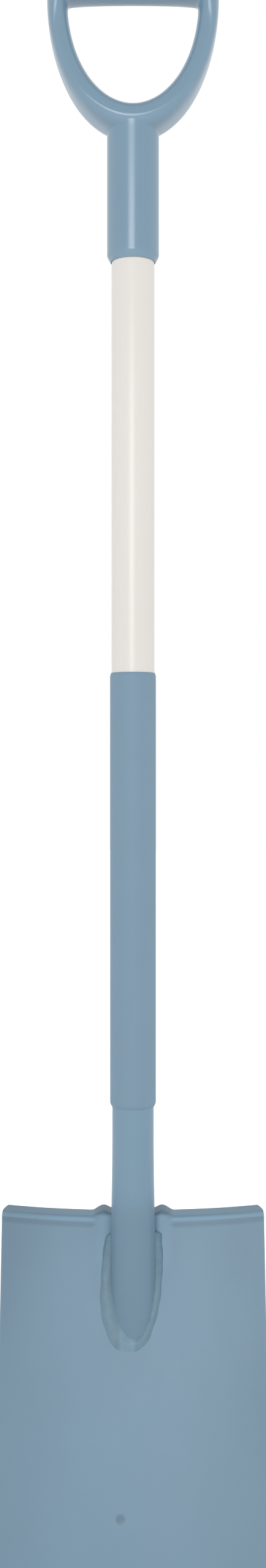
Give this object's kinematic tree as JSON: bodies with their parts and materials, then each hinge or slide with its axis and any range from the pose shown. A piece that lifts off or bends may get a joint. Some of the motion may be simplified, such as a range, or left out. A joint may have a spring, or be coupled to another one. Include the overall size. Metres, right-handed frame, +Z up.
{
  "type": "digging spade",
  "caption": "Digging spade with a moulded D handle, a round tube shaft with a hand sleeve, and a pressed blade with foot treads welded to its neck tube.",
  "frame": {"origin": "middle of the grip bar's underside inside the D, where a hook carries the spade", "axes": "+Z up along the shaft, +X across the blade, +Y to the back; the blade's hollow front faces -Y"},
  "size_m": [0.1888, 0.0982, 1.1788],
  "materials": {
    "coated_steel": "blue-grey powder coat, satin",
    "weld": "weld bead under the same powder coat",
    "white_paint": "off-white coat, satin",
    "sleeve_plastic": "blue-grey moulded plastic, matte",
    "handle_plastic": "blue-grey moulded plastic, satin",
    "plug_plastic": "black moulded plastic",
    "zinc_steel": "zinc plated steel"
  },
  "bodies": {
    "root": {"blade": "coated_steel", "neck_tube": "coated_steel", "weld_left": "weld", "weld_right": "weld", "weld_toe": "weld", "sleeve": "sleeve_plastic", "shaft_tube": "white_paint", "d_handle": "handle_plastic", "joint_rivet_upper": "zinc_steel", "joint_rivet_lower": "zinc_steel", "shaft_plug": "plug_plastic", "handle_screw": "zinc_steel"}
  },
  "joints": []
}
